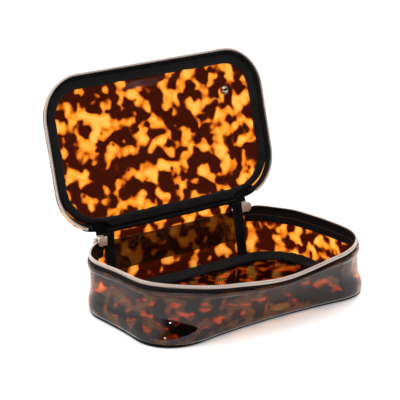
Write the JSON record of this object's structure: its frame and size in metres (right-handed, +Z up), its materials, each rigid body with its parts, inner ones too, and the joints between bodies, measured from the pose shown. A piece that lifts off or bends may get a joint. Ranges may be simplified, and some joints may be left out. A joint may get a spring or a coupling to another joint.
{
  "type": "zip-around clamshell case",
  "caption": "Zip-around clamshell case of translucent tortoiseshell vinyl with black bindings, shown open: lid hinged at the back, two zip sliders parked at its ends.",
  "frame": {"origin": "middle of the floor's underside, on the surface the case stands on", "axes": "+X right along the long side, +Y back towards the hinge, +Z up"},
  "size_m": [0.216, 0.1805, 0.1748],
  "materials": {
    "tortoise_vinyl": "translucent glossy tortoiseshell-print vinyl sheet",
    "smoke_vinyl": "smoky translucent glossy vinyl",
    "binding_cloth": "black woven binding, gathered on the corners",
    "zip_tape_cloth": "black woven zip tape",
    "zip_coil": "coil teeth metallised rose gold",
    "zip_metal": "polished rose gold plate",
    "edge_piping": "black edging round the bottom seam"
  },
  "bodies": {
    "base": {"floor_panel": "tortoise_vinyl", "edge_piping": "edge_piping", "floor_binding": "binding_cloth", "side_wall": "tortoise_vinyl", "wall_hem": "tortoise_vinyl", "back_panel": "tortoise_vinyl", "back_binding_left": "binding_cloth", "back_binding_right": "binding_cloth", "back_pocket": "smoke_vinyl", "base_zip_tape": "zip_tape_cloth", "base_zip_coil": "zip_coil", "slider_left": "zip_metal", "slider_right": "zip_metal", "hinge_tape": "binding_cloth"},
    "lid": {"lid_panel": "tortoise_vinyl", "lid_wall": "tortoise_vinyl", "lid_zip_tape": "zip_tape_cloth", "lid_zip_coil": "zip_coil", "lid_binding": "binding_cloth", "rivet_inner_cap": "zip_metal", "rivet_outer_cap": "zip_metal"},
    "pull_left": {"pull_link_left": "zip_metal", "pull_bar_left": "zip_metal"},
    "pull_right": {"pull_link_right": "zip_metal", "pull_bar_right": "zip_metal"}
  },
  "joints": [
    {"name": "lid_hinge", "type": "hinge", "parent": "base", "child": "lid", "pos_m": [0, 0.0725, 0.0508], "axis": [1, 0, 0], "range_deg": [-72, 102]},
    {"name": "pull_left_swing", "type": "hinge", "parent": "base", "child": "pull_left", "pos_m": [-0.0747, 0.07392, 0.0455], "axis": [1, 0, 0], "range_deg": [-5, 95]},
    {"name": "pull_right_swing", "type": "hinge", "parent": "base", "child": "pull_right", "pos_m": [0.0747, 0.07392, 0.0455], "axis": [1, 0, 0], "range_deg": [-5, 95]}
  ]
}
